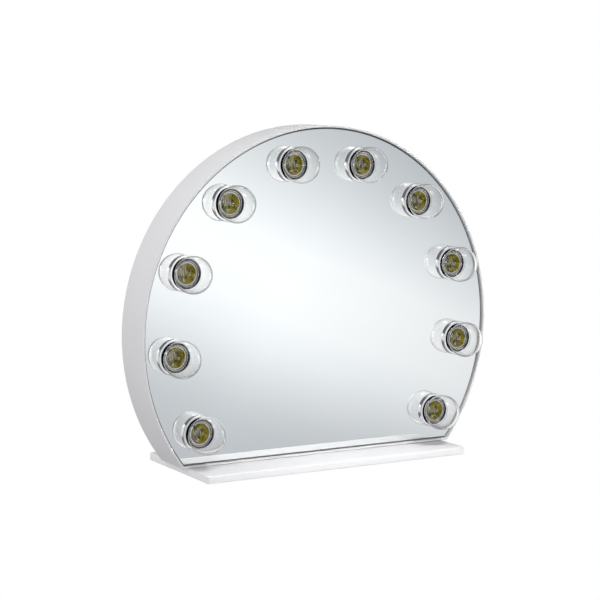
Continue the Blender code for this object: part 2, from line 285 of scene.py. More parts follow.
def coverPlastic():
    def pattern(maker, where):
        leather = maker.noise(where, 900.0, 3.0, 0.6)
        drift = maker.noise(where, 8.0, 2.0)
        return {"Base Color": maker.twoTone(drift, (0.765, 0.765, 0.775), (0.80, 0.80, 0.81)),
                "Roughness": maker.spread(leather, 0.45, 0.6),
                "Normal": maker.bump(leather, 0.35, 0.12 * mm)}
    return material("coverPlastic", {"Specular IOR Level": 0.45}, pattern)


def blackPlastic():
    return grained("blackPlastic", {"Specular IOR Level": 0.5}, (60.0, 3.0), (0.030, 0.030, 0.032),
                   (0.045, 0.045, 0.048), (0.32, 0.46), (0.15, 0.05 * mm), relief=(1300.0, 2.0))


def zincSteel():
    return grained("zincSteel", {"Metallic": 1.0}, (800.0, 3.0), (0.56, 0.57, 0.59), (0.68, 0.69, 0.71),
                   (0.22, 0.36), (0.1, 0.03 * mm))


def padRubber():
    return grained("padRubber", {"Specular IOR Level": 0.3}, (1000.0, 3.0), (0.035, 0.035, 0.035),
                   (0.06, 0.06, 0.06), (0.7, 0.85), (0.3, 0.08 * mm))


def boardPaint():
    return grained("boardPaint", {"Specular IOR Level": 0.3}, (600.0, 3.0), (0.012, 0.012, 0.013),
                   (0.022, 0.022, 0.024), (0.6, 0.75))


def driverCase():
    return grained("driverCase", {"Specular IOR Level": 0.45}, (1100.0, 2.0), (0.70, 0.70, 0.71),
                   (0.78, 0.78, 0.79), (0.4, 0.55), (0.2, 0.05 * mm))


def wireSleeve():
    return grained("wireSleeve", {"Specular IOR Level": 0.4}, (1400.0, 2.0), (0.74, 0.74, 0.72),
                   (0.82, 0.82, 0.80), (0.45, 0.6), (0.25, 0.06 * mm))


finishes = {make.__name__: make() for make in (
    powderCoat, baseLacquer, mirrorSilver, glassEdge, polishedChrome, holderPlastic, clearGlass, bulbPlastic,
    phosphorResin, boardInk, solderMetal, nickelCap, coverPlastic, blackPlastic, zincSteel, padRubber,
    boardPaint, driverCase, wireSleeve)}
print("finishes made:", len(finishes))


def linked(name, data):
    # a new object in the scene
    made = bpy.data.objects.new(name, data)
    bpy.context.scene.collection.objects.link(made)
    return made


def smoothed(mesh, angle):
    mesh.shade_smooth()
    mesh.set_sharp_from_angle(angle=radians(angle))


def asPiece(name, work, finishNames, smoothAngle=35):
    # weld the mesh, turn its normals out, and make it an object at the origin
    bmesh.ops.remove_doubles(work, verts=work.verts, dist=0.0005 * mm)
    bmesh.ops.recalc_face_normals(work, faces=work.faces)
    mesh = bpy.data.meshes.new(name)
    work.to_mesh(mesh)
    work.free()
    piece = linked(name, mesh)
    for finishName in finishNames:
        mesh.materials.append(finishes[finishName])
    smoothed(mesh, smoothAngle)
    return piece


def settle(piece, body, slot, *nodes):
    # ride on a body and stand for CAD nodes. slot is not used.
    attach(piece, body)
    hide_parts(*nodes)


def joinRims(work, near, far, finish=0):
    for i in range(len(near)):
        j = (i + 1) % len(near)
        face = work.faces.new((near[i], near[j], far[j], far[i]))
        face.material_index = finish


def capEdges(work, rims):
    edges = []
    for verts in rims:
        for a, b in zip(verts, verts[1:] + verts[:1]):
            edges.append(work.edges.get((a, b)) or work.edges.new((a, b)))
    bmesh.ops.triangle_fill(work, edges=edges, use_beauty=True)


def latheInto(work, profile, at, steps, closed=False, finishAt=None, along="Y", ridge=None):
    # profile is (radius, reach along the axis). A radius of 0 is a pole.
    # finishAt gives a finish index for each stretch, and ridge(radius, reach, angle) may move a point.
    rims = []
    for radius, reach in profile:
        ring = []
        for i in range(steps if radius > 1e-7 else 1):
            angle = 2 * pi * i / steps
            r = ridge(radius, reach, angle) if ridge and radius > 1e-7 else radius
            if along == "Y":
                ring.append(work.verts.new((at.x + r * cos(angle), at.y + reach, at.z + r * sin(angle))))
            else:
                ring.append(work.verts.new((at.x + r * cos(angle), at.y + r * sin(angle), at.z + reach)))
        rims.append(ring)
    pairs = list(zip(range(len(rims) - 1), range(1, len(rims))))
    if closed:
        pairs.append((len(rims) - 1, 0))
    for a, b in pairs:
        finish = finishAt[a] if finishAt else 0
        near, far = rims[a], rims[b]
        if len(near) == 1 and len(far) == 1:
            continue
        for i in range(max(len(near), len(far))):
            j = (i + 1) % steps
            corners = []
            for rim, k in ((near, i), (near, j), (far, j), (far, i)):
                vert = rim[0] if len(rim) == 1 else rim[k]
                if vert not in corners:
                    corners.append(vert)
            work.faces.new(corners).material_index = finish


def turned(name, profile, at, steps, finishNames, smoothAngle=35, **options):
    # a lathed shape as a piece, with latheInto's options
    work = bmesh.new()
    latheInto(work, profile, at, steps, **options)
    return asPiece(name, work, finishNames, smoothAngle)


def inMm(points):
    return [(first * mm, second * mm) for first, second in points]


def roundCorner(centre, radius, fromAngle, toAngle, steps=6):
    # points on an arc, for a profile. Angles are in degrees, 0 towards +radius and 90 towards +reach.
    points = []
    for i in range(steps + 1):
        angle = radians(fromAngle + (toAngle - fromAngle) * i / steps)
        points.append((centre[0] + radius * cos(angle), centre[1] + radius * sin(angle)))
    return points


def archOutline(inset, steps=216):
    # the half-round outline moved inwards, as (x, z). Its last edge is the straight bottom.
    radius = frameRadius - inset
    drop = chordDrop - inset
    start = -asin(drop / radius)
    span = pi - 2 * start
    return [(radius * cos(start + span * i / steps), centreZ + radius * sin(start + span * i / steps))
            for i in range(steps + 1)]


def circleOutline(x, z, radius, steps=96):
    turns = [2 * pi * i / steps for i in range(steps)]
    return [(x + radius * cos(a), z + radius * sin(a)) for a in turns]


def boxOutline(x, z, width, height, corner, steps=6):
    points = []
    for sx, sz, turn in ((1, -1, -pi / 2), (1, 1, 0.0), (-1, 1, pi / 2), (-1, -1, pi)):
        cx = x + sx * (width / 2 - corner)
        cz = z + sz * (height / 2 - corner)
        for i in range(steps + 1):
            angle = turn + pi / 2 * i / steps
            points.append((cx + corner * cos(angle), cz + corner * sin(angle)))
    return points


def slotOutline(endX, endZ, radius, start):
    # a round-ended outline about the origin. One end is centred at (endX, endZ), the other opposite.
    return [(side * endX + radius * cos(a), side * endZ + radius * sin(a))
            for side, turn in ((1, start), (-1, start + pi)) for a in [turn + pi * i / 8 for i in range(9)]]


def plate(name, walls, finishNames, smoothAngle=35, flat="Y"):
    # a pierced plate as a piece. walls has a list of (depth, outline, finish) for each rim, outer one first.
    def place(point, depth):
        return (point[0], depth, point[1]) if flat == "Y" else (point[0], point[1], depth)
    work = bmesh.new()
    firstRims = []
    lastRims = []
    for wall in walls:
        rims = [[work.verts.new(place(p, depth)) for p in outline] for depth, outline, finish in wall]
        for index in range(len(rims) - 1):
            joinRims(work, rims[index], rims[index + 1], wall[index][2])
        firstRims.append(rims[0])
        lastRims.append(rims[-1])
    capEdges(work, firstRims)
    capEdges(work, lastRims)
    return asPiece(name, work, finishNames, smoothAngle)


def roundedWall(near, far, outlineAt, radius):
    # a rim from depth near to depth far whose two edges are rounded. outlineAt(inset) gives its outline.
    turns = [pi / 2 * i / 5 for i in range(6)]
    wall = [(near + radius * (1 - sin(a)), outlineAt(radius * (1 - cos(a))), 0) for a in reversed(turns)]
    return wall + [(far - radius * (1 - sin(a)), outlineAt(radius * (1 - cos(a))), 0) for a in turns]


def loftInto(work, rims):
    # skin over closed rims of points, in order, and cap both ends
    rings = [[work.verts.new(point) for point in rim] for rim in rims]
    for near, far in zip(rings, rings[1:]):
        joinRims(work, near, far)
    capEdges(work, [rings[0]])
    capEdges(work, [rings[-1]])


def grow(name, sizes, finishName, build, points=(), second=None):
    # run a Geometry Nodes tree once and keep what it makes as a plain mesh.
    # points are the carrier's vertices. second is (finish, face attribute) for faces with another finish.
    tree = bpy.data.node_groups.new(name + "Tree", "GeometryNodeTree")
    tree.interface.new_socket("Geometry", in_out="OUTPUT", socket_type="NodeSocketGeometry")
    tree.interface.new_socket("Geometry", in_out="INPUT", socket_type="NodeSocketGeometry")
    kinds = {int: "NodeSocketInt", float: "NodeSocketFloat", bpy.types.Object: "NodeSocketObject"}
    sockets = {label: tree.interface.new_socket(label, in_out="INPUT", socket_type=kinds[type(value)])
               for label, value in sizes.items()}
    maker = Maker(tree)
    source = tree.nodes.new("NodeGroupInput")
    inputs = {label: Link(maker, source.outputs[label]) for label in ["Geometry", *sizes]}
    solid = maker.node("GeometryNodeRealizeInstances", None, {"Geometry": build(maker, inputs)})
    painted = maker.node("GeometryNodeSetMaterial", None,
                         {"Geometry": solid, "Material": finishes[finishName]})
    if second:
        chosen = maker.node("GeometryNodeInputNamedAttribute", {"data_type": "BOOLEAN"}, {"Name": second[1]})
        painted = maker.node("GeometryNodeSetMaterial", None,
                             {"Geometry": painted, "Selection": chosen, "Material": finishes[second[0]]})
    sink = tree.nodes.new("NodeGroupOutput")
    tree.links.new(painted.socket, sink.inputs["Geometry"])
    seed = bpy.data.meshes.new(name + "Seed")
    seed.from_pydata([tuple(p) for p in points], [], [])
    carrier = linked(name, seed)
    modifier = carrier.modifiers.new(name, "NODES")
    modifier.node_group = tree
    for label, socket in sockets.items():
        modifier[socket.identifier] = sizes[label]
    graph = bpy.context.evaluated_depsgraph_get()
    mesh = bpy.data.meshes.new_from_object(carrier.evaluated_get(graph), preserve_all_data_layers=True,
                                           depsgraph=graph)
    carrier.modifiers.remove(modifier)
    carrier.data = mesh
    mesh.name = name
    return carrier


def patternShape(maker, inputs):
    return maker.node("GeometryNodeObjectInfo", {"transform_space": "ORIGINAL"},
                      {"Object": inputs["pattern"]}, out="Geometry")


def scatter(maker, inputs):
    # one copy of the pattern at each point
    return maker.node("GeometryNodeInstanceOnPoints", None,
                      {"Points": inputs["Geometry"], "Instance": patternShape(maker, inputs)})


def copies(name, pattern, finishName, places, second=None):
    # the pattern at each place, as one piece. The pattern itself goes.
    made = grow(name, {"pattern": pattern}, finishName, scatter, places, second)
    bpy.data.objects.remove(pattern)
    return made


def cutAway(piece, cutters):
    # subtract closed shapes and keep the result as a plain mesh
    for number, cutter in enumerate(cutters):
        cut = piece.modifiers.new(f"cut{number}", "BOOLEAN")
        cut.operation = "DIFFERENCE"
        cut.solver = "EXACT"
        cut.object = cutter
    graph = bpy.context.evaluated_depsgraph_get()
    piece.data = bpy.data.meshes.new_from_object(piece.evaluated_get(graph), depsgraph=graph)
    piece.modifiers.clear()
    for cutter in cutters:
        bpy.data.objects.remove(cutter)
    return piece


def placed(pattern, name, at):
    # a copy of a pattern, with its place in its mesh
    mesh = pattern.data.copy()
    mesh.name = name
    mesh.transform(Matrix.Translation(at))
    return linked(name, mesh)


def joined(name, pieces):
    # several meshes made one piece
    with bpy.context.temp_override(active_object=pieces[0], object=pieces[0], selected_objects=pieces,
                                   selected_editable_objects=pieces):
        bpy.ops.object.join()
    pieces[0].name = name
    return pieces[0]


bandSizes = metres(wall=2.5, edgeRound=0.7, ledgeReach=12.0, ledgeThick=2.0, gap=0.3, rearHole=1.9,
                   baseHole=2.9, drillLength=(4, 5))


def makeFrameBand():
    s = bandSizes
    front, rear = shellLow.y, shellHigh.y
    frontLedge = boardRear + s["gap"]
    rearLedge = coverLow.y - s["gap"] - s["ledgeThick"]
    r, wall, reach, thick = s["edgeRound"], s["wall"], s["ledgeReach"], s["ledgeThick"]
    turns = [pi / 2 * i / 5 for i in range(6)]
    section = [(r - r * sin(a), front + r - r * cos(a)) for a in reversed(turns)]
    section += [(wall - r * 0.5, front), (wall - r * 0.15, front + r * 0.15), (wall, front + r * 0.5)]
    for ledge in (frontLedge, rearLedge):
        section += [(wall, ledge), (reach, ledge), (reach, ledge + thick), (wall, ledge + thick)]
    section += [(wall, rear)]
    section += [(r - r * sin(a), rear - r + r * cos(a)) for a in turns]
    work = bmesh.new()
    rims = [[work.verts.new((x, depth, z)) for x, z in archOutline(inset)] for inset, depth in section]
    for near, far in zip(rims, rims[1:] + rims[:1]):
        joinRims(work, near, far)
    piece = asPiece("frameBand", work, ["powderCoat"], 30)
    rearLength, baseLength = s["drillLength"]
    cutters = []
    for number in range(1, 5):
        at = nodeMiddle(f"rear_screw_{number}")
        cutters.append(makeDrill(Vector((at.x, rearLedge + thick / 2, at.z)), s["rearHole"], rearLength, "Y"))
    for number in (1, 2):
        at = nodeMiddle(f"base_screw_{number}")
        cutters.append(makeDrill(Vector((at.x, 0, shellLow.z + wall / 2)), s["baseHole"], baseLength, "Z"))
    settle(cutAway(piece, cutters), "frame", "frame_paint", "frame_shell")


def makeDrill(at, radius, length, along):
    profile = [(0, -length / 2), (radius, -length / 2), (radius, length / 2), (0, length / 2)]
    return turned("drill", profile, at, 24, ["zincSteel"], along=along)


glassSizes = metres(inset=3.8, bevel=0.8, hole=20.8, holeRound=0.25)


def makeMirrorPlate():
    # a silvered plate with a bevelled edge and a hole for each lamp holder
    s = glassSizes
    front, rear = mirrorLow.y, mirrorHigh.y
    inset, bevel, lip = s["inset"], s["bevel"], s["holeRound"]
    walls = [[(front, archOutline(inset + bevel), 1),
              (front + bevel * 0.35, archOutline(inset + bevel * 0.3), 1),
              (front + bevel, archOutline(inset), 1), (rear, archOutline(inset), 1)]]
    for at in bulbPlaces:
        hole = circleOutline(at.x, at.z, s["hole"])
        walls.append([(front, circleOutline(at.x, at.z, s["hole"] + lip), 1), (front + lip, hole, 1),
                      (rear, hole, 1)])
    piece = plate("mirrorPlate", walls, ["mirrorSilver", "glassEdge"], 20)
    for face in piece.data.polygons:
        face.use_smooth = abs(face.normal.y) < 0.99
    settle(piece, "frame", "mirror", "mirror_glass")


coverSizes = metres(inset=2.8, edgeRound=0.4, jackHole=4.5, knobHole=4.0, switchHole=(14.6, 20.6),
                    switchCorner=0.4, screwHole=1.9, holeRound=0.2, slotLength=30.0, slotWidth=3.0,
                    slotPitch=9.0, slotGap=110.0, slotHeight=275.0)
slotRows = 7


def roundHole(node, radius, steps):
    # gives the outline of a hole around a node, made wider by what it is asked
    at = nodeMiddle(node)
    return lambda extra: circleOutline(at.x, at.z, radius + extra, steps)


def makeRearCover():
    s = coverSizes
    front, rear, lip = coverLow.y, coverHigh.y, s["holeRound"]
    switch = nodeMiddle("switch_body")
    wide, tall = s["switchHole"]
    holes = [roundHole("dc_jack", s["jackHole"], 48), roundHole("dimmer_knob", s["knobHole"], 48),
             lambda extra: boxOutline(switch.x, switch.z, wide + 2 * extra, tall + 2 * extra,
                                      s["switchCorner"] + extra)]
    holes += [roundHole(f"rear_screw_{number}", s["screwHole"], 32) for number in range(1, 5)]
    walls = [roundedWall(front, rear, lambda cut: archOutline(s["inset"] + cut), s["edgeRound"])]
    for hole in holes:
        walls.append([(front, hole(0.0), 0), (rear - lip, hole(0.0), 0), (rear, hole(lip), 0)])
    piece = plate("rearCover", walls, ["coverPlastic"], 30)

    # stadium cutters, spread by nodes over two banks
    outline = slotOutline(s["slotLength"] / 2 - s["slotWidth"] / 2, 0, s["slotWidth"] / 2, -pi / 2)
    pattern = plate("slotPattern", [[(-3 * mm, outline, 0), (3 * mm, outline, 0)]], ["coverPlastic"])

    def banks(maker, inputs):
        grid = maker.node("GeometryNodeMeshGrid", None,
                          {"Size X": inputs["bankGap"], "Size Y": inputs["height"], "Vertices X": 2,
                           "Vertices Y": inputs["rows"]})
        upright = maker.node("GeometryNodeTransform", None,
                             {"Geometry": grid, "Rotation": (pi / 2, 0, 0),
                              "Translation": (0, (front + rear) / 2, s["slotHeight"])})
        return maker.node("GeometryNodeInstanceOnPoints", None,
                          {"Points": upright, "Instance": patternShape(maker, inputs)})
    cutters = grow("ventSlots", {"pattern": pattern, "bankGap": s["slotGap"], "rows": slotRows,
                                 "height": s["slotPitch"] * (slotRows - 1)}, "coverPlastic", banks)
    bpy.data.objects.remove(pattern)
    cutAway(piece, [cutters])
    smoothed(piece.data, 30)
    settle(piece, "frame", "cover", "rear_cover")


baseSizes = metres(corner=3.0, edgeRound=0.9, screwSink=5.3, screwHole=2.9, sinkDepth=4.5)


def makeBasePlate():
    s = baseSizes
    width, depth = baseHigh.x - baseLow.x, baseHigh.y - baseLow.y
    floor = baseLow.z + s["sinkDepth"]
    walls = [roundedWall(baseLow.z, baseHigh.z,
                         lambda cut: boxOutline(0, 0, width - 2 * cut, depth - 2 * cut, s["corner"] - cut, 8),
                         s["edgeRound"])]
    for number in (1, 2):
        at = nodeMiddle(f"base_screw_{number}")
        sink = circleOutline(at.x, 0, s["screwSink"], 48)
        hole = circleOutline(at.x, 0, s["screwHole"], 48)
        walls.append([(baseLow.z, sink, 0), (floor, sink, 0), (floor, hole, 0), (baseHigh.z, hole, 0)])
    piece = plate("basePlate", walls, ["baseLacquer"], 30, "Z")
    settle(piece, "frame", "base_lacquer", "base_plate")


padSizes = metres(corner=2.0, groove=0.25, pitch=2.5, bevel=(0.4, 0.3), grooveAt=(0.5, 1.2, 1.7))


def makeFootPads():
    # a strip whose underside is grooved across
    s = padSizes
    across, up = s["bevel"]
    first, second, last = s["grooveAt"]
    for number in (1, 2):
        low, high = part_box(f"foot_pad_{number}")
        count = int((high.x - low.x - 2 * s["corner"]) / s["pitch"])
        start = (low.x + high.x) / 2 - count * s["pitch"] / 2
        side = [(low.x + across, low.z), (low.x, low.z + up), (low.x, high.z), (high.x, high.z),
                (high.x, low.z + up), (high.x - across, low.z)]
        for i in range(count, 0, -1):
            x = start + i * s["pitch"]
            side += [(x, low.z), (x - first, low.z + s["groove"]), (x - second, low.z + s["groove"]),
                     (x - last, low.z)]
        work = bmesh.new()
        loftInto(work, [[(x, y, z) for x, z in side] for y in (low.y, high.y)])
        settle(asPiece(f"footPad{number}", work, ["padRubber"], 25), "frame", "rubber", f"foot_pad_{number}")


roundSteps = 96  # around a lamp holder or a bulb
holderSizes = metres(sleeve=19.2, flange=22.0, proud=3.2, outer=20.2, gap=0.3, crownRound=0.5, lipRound=0.4,
                     lead=0.6)


def makeLampHolders():
    s = holderSizes
    crown, lip = s["crownRound"], s["lipRound"]
    profile = roundCorner((s["sleeve"] + lip, -s["proud"] + lip), lip, 180, 270, 5)
    profile += roundCorner((s["flange"] - crown, -s["proud"] + crown), crown, -90, 0, 6)
    bright = len(profile) + 1
    profile += [(s["flange"], -s["gap"]), (s["outer"], -s["gap"]), (s["outer"], 13.0 * mm)]
    profile += inMm([(9.0, 18.5), (9.0, 37.0), (0, 37.0), (0, 35.6), (7.6, 35.6), (7.6, 17.2)])
    profile += [(s["sleeve"], 12.2 * mm), (s["sleeve"], s["lead"])]
    pattern = turned("holderPattern", profile, origin, roundSteps,
                     ["polishedChrome", "holderPlastic"], closed=True,
                     finishAt=[0] * bright + [1] * (len(profile) - bright))
    dark = pattern.data.attributes.new("darkPart", "BOOLEAN", "FACE")
    for face in pattern.data.polygons:
        dark.data[face.index].value = face.material_index == 1
    holders = copies("lampHolders", pattern, "polishedChrome", bulbPlaces, ("holderPlastic", "darkPart"))
    settle(holders, "frame", "holder_chrome", *[f"lamp_holder_{n + 1}" for n in range(bulbCount)])


bulbSizes = metres(globe=22.5, centre=19.8, wall=1.0, neck=15.3, housing=16.2, housingFront=-3.2, seat=-0.5,
                   gap=0.3, disc=13.9, discFront=-2.8, edgeRound=0.4, threadLength=14.0, threadDepth=0.35)
threadTurns = 5


def globeProfile():
    s = bulbSizes
    inner = s["globe"] - s["wall"]
    neckInner = s["neck"] - s["wall"]
    outerJoin = asin(s["neck"] / s["globe"])
    innerJoin = asin(neckInner / inner)
    foot = s["seat"] - s["gap"]
    points = [(neckInner, foot), (s["neck"], foot)]
    for i in range(41):
        angle = outerJoin + (pi - outerJoin) * i / 40
        points.append((s["globe"] * sin(angle) if i < 40 else 0, -s["centre"] + s["globe"] * cos(angle)))
    for i in range(41):
        angle = pi - (pi - innerJoin) * i / 40
        points.append((inner * sin(angle) if i > 0 else 0, -s["centre"] + inner * cos(angle)))
    return points


def makeBulbBase():
    # a cap with a rolled thread, and the white housing around the disc
    s = bulbSizes
    front, edge = s["housingFront"], s["edgeRound"]
    rimInner = s["neck"] + s["gap"]
    profile = inMm([(0, 35.0), (2.5, 35.0), (3.2, 33.0), (6.8, 31.5)])
    rings = threadTurns * 6
    for i in range(rings + 1):
        reach = 30.5 * mm - i * s["threadLength"] / rings
        profile.append((6.45 * mm + s["threadDepth"] * cos(2 * pi * i / 6), reach))
    capEnd = len(profile) - 1
    profile += inMm([(6.8, 15.2), (8.5, 15.0)]) + [(s["housing"], 7.5 * mm)]
    profile += roundCorner((s["housing"] - edge, front + edge), edge, 0, -90, 4)
    profile += [(rimInner, front + 0.15 * mm), (rimInner, s["seat"]), (0, s["seat"])]
    # the stretches from the thread to the housing's rounded front edge are black holder plastic: painted
    # shade in the gap between the housing and the lamp holder
    return turned("basePattern", profile, origin, roundSteps,
                  ["bulbPlastic", "nickelCap", "holderPlastic"], 40,
                  finishAt=[1] * capEnd + [2] * 4 + [0] * (len(profile) - capEnd - 4))


discSizes = metres(dome=0.25, resin=12.7, edgeRound=0.4, postLength=6.8, postWidth=1.0, postPitch=2.3,
                   postRow=(-4.6, 2.4), postWave=1.6, sunk=0.3)
postCount = 5
chipSizes = metres(width=2.8, height=3.4, chamfer=0.3)
chipSpots = [(-10.2, -3.4), (-6.4, -4.9), (-1.2, -4.0), (-8.0, 8.6), (2.9, 4.2)]  # x and z in mm
# x, z, outer and inner radius in mm
eyelets = [(3.6, -0.8, 1.9, 0.9), (-3.9, -7.6, 1.6, 0.7), (-11.3, 2.4, 1.3, 0.5)]


def makeDiscPattern():
    # a white board whose middle is phosphor resin, with posts, dark parts and eyelets on it
    s, b, c = discSizes, bulbSizes, chipSizes
    front, edge, sunk = b["discFront"], s["edgeRound"], b["discFront"] + s["sunk"]
    rear = b["seat"] - b["gap"]
    profile = [(0, rear), (b["disc"], rear)]
    profile += roundCorner((b["disc"] - edge, front + edge), edge, 0, -90, 4)
    boardEnd = len(profile)
    for i in range(9):
        share = i / 8
        profile.append((s["resin"] * (1 - share) if i < 8 else 0, front - s["dome"] * sin(share * pi / 2)))
    disc = turned("discPattern", profile, origin, 72, ["phosphorResin", "boardInk"], 40,
                  finishAt=[1] * boardEnd + [0] * (len(profile) - boardEnd))

    outline = slotOutline(0, s["postLength"] / 2 - s["postWidth"] / 2, s["postWidth"] / 2, 0.0)
    post = plate("postPattern", [[(sunk, outline, 0), (front - 0.55 * mm, outline, 0),
                                  (front - 0.7 * mm, [(x * 0.7, z * 0.94) for x, z in outline], 0)]],
                 ["solderMetal"], 40)
    rowX, rowZ = s["postRow"]
    row = [(rowX + (i - (postCount - 1) / 2) * s["postPitch"], 0, rowZ + s["postWave"] * cos(2.2 * i))
           for i in range(postCount)]
    posts = copies("discPosts", post, "solderMetal", row)

    outline = boxOutline(0, 0, c["width"], c["height"], 0.3 * mm, 3)
    crown = boxOutline(0, 0, c["width"] - c["chamfer"], c["height"] - c["chamfer"], 0.3 * mm, 3)
    chip = plate("chipPattern", [[(sunk, outline, 0), (front - 0.5 * mm, outline, 0),
                                  (front - 0.65 * mm, crown, 0)]], ["blackPlastic"], 40)
    chips = copies("discChips", chip, "blackPlastic", [(x * mm, 0, z * mm) for x, z in chipSpots])

    rings = bmesh.new()
    for x, z, outer, inner in eyelets:
        middle, half = (outer + inner) / 2 * mm, (outer - inner) / 2 * mm
        section = [(middle + half * cos(a), front - 0.25 * mm + 0.45 * mm * sin(a))
                   for a in [2 * pi * i / 12 for i in range(12)]]
        latheInto(rings, section, Vector((x * mm, 0, z * mm)), 32, closed=True)
    return joined("discPattern", [disc, posts, chips, asPiece("discEyelets", rings, ["solderMetal"], 60)])


def makeBulbs():
    globe = turned("globePattern", globeProfile(), origin, roundSteps, ["clearGlass"], 40,
                   closed=True)
    base, disc = makeBulbBase(), makeDiscPattern()
    for number, at in enumerate(bulbPlaces, start=1):
        body = f"bulb_{number}"
        settle(placed(globe, f"globe{number}", at), body, "bulb_glass", f"bulb_globe_{number}")
        settle(placed(base, f"bulbBase{number}", at), body, "bulb_plastic", f"bulb_base_{number}")
        settle(placed(disc, f"ledDisc{number}", at), body, "phosphor", f"led_disc_{number}")
    for pattern in (globe, base, disc):
        bpy.data.objects.remove(pattern)


screwSizes = metres(crossWidth=0.65, rearCross=(1.2, 1.6), baseCross=(1.8, 2.6), crown=(2.9, 0.8, 1.0))
crossTaper = 0.55


def screwPattern(profile, face, cross, along, outwards):
    # a turned screw with a tapered cross cut into its head. cross is (depth, reach).
    screw = turned("screwPattern", profile, origin, 40, ["zincSteel"], 40, along=along)
    depth, reach = cross
    half = screwSizes["crossWidth"] / 2
    cutters = []
    for number, (a, b) in enumerate(((reach, half), (half, reach))):
        top = [(a, b), (-a, b), (-a, -b), (a, -b)]
        bottom = [(x * crossTaper, z * crossTaper) for x, z in top]
        arm = [(face - outwards * depth, bottom, 0), (face + outwards * 0.5 * mm, top, 0)]
        cutters.append(plate(f"crossArm{number}", [arm], ["zincSteel"], flat=along))
    cutAway(screw, cutters)
    smoothed(screw.data, 35)
    return screw


def makeScrews():
    s = screwSizes
    radius, foot, height = s["crown"]
    profile = inMm([(0, -9.5), (0.8, -9.5), (1.5, -8.2), (1.5, 0.3), (2.9, 0.3), (2.9, 0.8)])
    profile += [(radius * cos(a), foot + height * sin(a)) for a in [pi / 2 * i / 8 for i in range(1, 8)]]
    profile += [(0, foot + height)]
    pattern = screwPattern(profile, foot + height, s["rearCross"], "Y", 1)
    middles = [nodeMiddle(f"rear_screw_{n}") for n in range(1, 5)]
    screws = copies("coverScrews", pattern, "zincSteel", [(at.x, coverHigh.y, at.z) for at in middles])
    settle(screws, "frame", "screw_steel", *[f"rear_screw_{n}" for n in range(1, 5)])

    profile = inMm([(0, 1.2), (4.0, 1.2), (4.4, 1.4), (4.6, 1.8), (4.6, 4.2), (2.5, 4.2), (2.5, 20.0),
                    (1.8, 21.0), (0, 21.0)])
    pattern = screwPattern(profile, 1.2 * mm, s["baseCross"], "Z", -1)
    places = [(nodeMiddle(f"base_screw_{n}").x, 0, baseLow.z) for n in (1, 2)]
    screws = copies("baseScrews", pattern, "zincSteel", places)
    settle(screws, "frame", "screw_steel", "base_screw_1", "base_screw_2")


def onCover(node):
    # the point of the cover's outer face where a rear fitting stands
    at = nodeMiddle(node)
    return Vector((at.x, coverHigh.y, at.z))


knobSizes = metres(radius=11.0, height=14.0, foot=1.0, ribDepth=0.35, pointerAt=3.4, pointerReach=1.6,
                   pointerHalf=0.45)
knobRibs = 36


def makeKnob(at):
    # a ribbed knob with a pointer line set in its face
    s = knobSizes
    top = s["foot"] + s["height"]
    r = s["radius"]
    profile = [(3.3 * mm, 1.0 * mm), (r, 1.0 * mm), (r, 2.6 * mm)]
    profile += roundCorner((r - 0.5 * mm, 3.0 * mm), 0.3 * mm, 20, 90, 3)
    profile += [(r - 0.75 * mm, 3.6 * mm), (r - 1.0 * mm, top - 3.0 * mm), (r - 1.1 * mm, top - 1.2 * mm)]
    profile += roundCorner((r - 2.1 * mm, top - 1.0 * mm), 1.0 * mm, 15, 90, 6)
    profile += [(r - 4.0 * mm, top), (r - 4.6 * mm, top - 0.35 * mm), (0, top - 0.35 * mm)]
    profile += inMm([(0, 11.5), (3.3, 11.5)])

    def ridge(radius, reach, angle):
        # grip ribs on the side only
        if 3.4 * mm < reach < top - 1.1 * mm and radius > 8 * mm:
            return radius - s["ribDepth"] * (0.5 + 0.5 * cos(knobRibs * angle))
        return radius
    knob = turned("dimmerKnob", profile, at, knobRibs * 8, ["blackPlastic"], 50, closed=True, ridge=ridge)
    outline = [(at.x + x, at.z + s["pointerAt"] + z)
               for x, z in slotOutline(0, s["pointerReach"], s["pointerHalf"], 0.0)]
    wall = [(at.y + top - 0.6 * mm, outline, 0), (at.y + top - 0.05 * mm, outline, 0)]
    pointer = plate("dimmerPointer", [wall], ["bulbPlastic"], 40)
    return joined("dimmerKnob", [knob, pointer])


def makeDimmer():
    at = onCover("dimmer_knob")
    settle(makeKnob(at), "dimmer", "black_plastic", "dimmer_knob")
    profile = inMm([(0, 11.0), (2.3, 11.0), (2.9, 10.4)])
    profile += [(2.9 * mm - (0.15 * mm if i % 2 else 0.0), 10.0 * mm - i * 0.5 * mm) for i in range(13)]
    profile += inMm([(2.9, 0.3), (3.6, 0.3), (3.6, -2.3), (8.1, -2.3), (8.5, -2.7), (8.5, -12.6),
                     (8.1, -13.0), (0, -13.0)])
    settle(turned("dimmerBody", profile, at, 64, ["zincSteel"], 30), "frame", "dimmer_metal", "dimmer_body")


jackSizes = metres(flange=6.4, flangeRound=0.6, bore=2.8, pin=1.0, deep=-8.0)


def makeInlet():
    s = jackSizes
    bore, flange, deep = s["bore"], s["flange"], s["deep"]
    profile = [(0, 1.5 * mm), (0.7 * mm, 1.5 * mm), (s["pin"], 1.1 * mm), (s["pin"], deep), (bore, deep),
               (bore, 1.9 * mm), (bore + 0.4 * mm, 2.3 * mm)]
    profile += roundCorner((flange - s["flangeRound"], 1.7 * mm), s["flangeRound"], 90, 0, 5)
    profile += [(flange, 0.3 * mm)] + inMm([(4.1, 0.3), (4.1, -14.0), (0, -14.0)])
    inlet = turned("powerInlet", profile, onCover("dc_jack"), 64, ["blackPlastic", "zincSteel"], 35,
                   finishAt=[1] * 4 + [0] * (len(profile) - 4))
    settle(inlet, "frame", "black_plastic", "dc_jack")


switchSizes = metres(bezel=(17.0, 23.0), opening=(11.0, 16.6), body=(14.0, 20.0), halfWidth=5.1, pivot=1.2)
rockerTilt = -10.0
